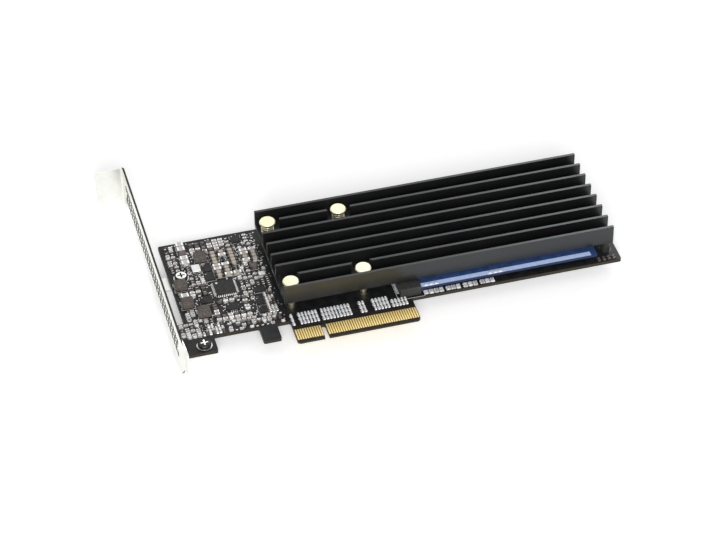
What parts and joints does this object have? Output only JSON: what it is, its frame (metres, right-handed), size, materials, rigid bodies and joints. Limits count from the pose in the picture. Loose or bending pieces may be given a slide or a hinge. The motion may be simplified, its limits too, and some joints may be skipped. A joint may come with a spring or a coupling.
{
  "type": "nvme adapter card",
  "caption": "Expansion card with a perforated full-height bracket and M.2 solid-state modules clamped under a long finned heatsink.",
  "frame": {"origin": "where the centre line of the key notch meets the bottom edge of the gold tongue, on the component side's surface", "axes": "+Z out of the component side, +X along the board away from the bracket, +Y from the gold tongue towards the top edge"},
  "size_m": [0.2013, 0.12, 0.0216],
  "materials": {
    "black_solder_mask": "satin",
    "gold_plating": "polished",
    "black_anodised": "satin",
    "brass": "polished",
    "spring_steel": "satin",
    "bracket_steel": "satin",
    "screw_steel": "satin",
    "coated_steel": "satin",
    "black_nylon": "matt",
    "blue_solder_mask": "satin",
    "black_package": "matt",
    "green_substrate": "satin",
    "silicon": "polished",
    "grey_pad": "matt",
    "socket_plastic": "matt",
    "tin": "satin",
    "capacitor_ceramic": "satin",
    "capacitor_grey": "satin",
    "resistor_black": "satin",
    "inductor_grey": "matt",
    "can_metal": "satin",
    "led_white": "satin"
  },
  "bodies": {
    "root": {"circuit_board": "black_solder_mask", "edge_contacts_front": "gold_plating", "edge_contacts_back": "gold_plating", "heatsink": "black_anodised", "push_pins": "brass", "pin_springs": "spring_steel", "heatsink_spacers": "black_nylon", "heatsink_screws": "screw_steel", "switch_substrate": "green_substrate", "switch_die": "silicon", "switch_thermal_pad": "grey_pad", "module_screws": "screw_steel", "module_standoffs": "brass", "module_passives": "capacitor_ceramic", "socket_tails": "tin", "bracket": "bracket_steel", "bracket_screws": "coated_steel", "back_capacitors": "capacitor_ceramic", "module_board_lower": "blue_solder_mask", "module_socket_lower": "socket_plastic", "module_controller_lower": "black_package", "module_cache_lower": "black_package", "module_memory_lower": "black_package", "module_pad_lower": "grey_pad", "module_board_upper": "blue_solder_mask", "module_socket_upper": "socket_plastic", "module_controller_upper": "black_package", "module_cache_upper": "black_package", "module_memory_upper": "black_package", "module_pad_upper": "grey_pad", "power_inductors": "inductor_grey", "power_stages": "black_package", "power_controller": "black_package", "microcontroller": "black_package", "flash_chip": "black_package", "clock_chip": "black_package", "level_shifters": "black_package", "oscillator": "can_metal", "crystal": "can_metal", "small_regulators": "black_package", "chip_leads": "tin", "status_leds": "led_white", "bulk_capacitors": "capacitor_grey", "large_capacitors": "capacitor_ceramic", "medium_capacitors": "capacitor_grey", "small_capacitors": "capacitor_grey", "coupling_capacitors": "capacitor_grey", "small_resistors": "resistor_black", "far_end_resistors": "resistor_black"}
  },
  "joints": []
}
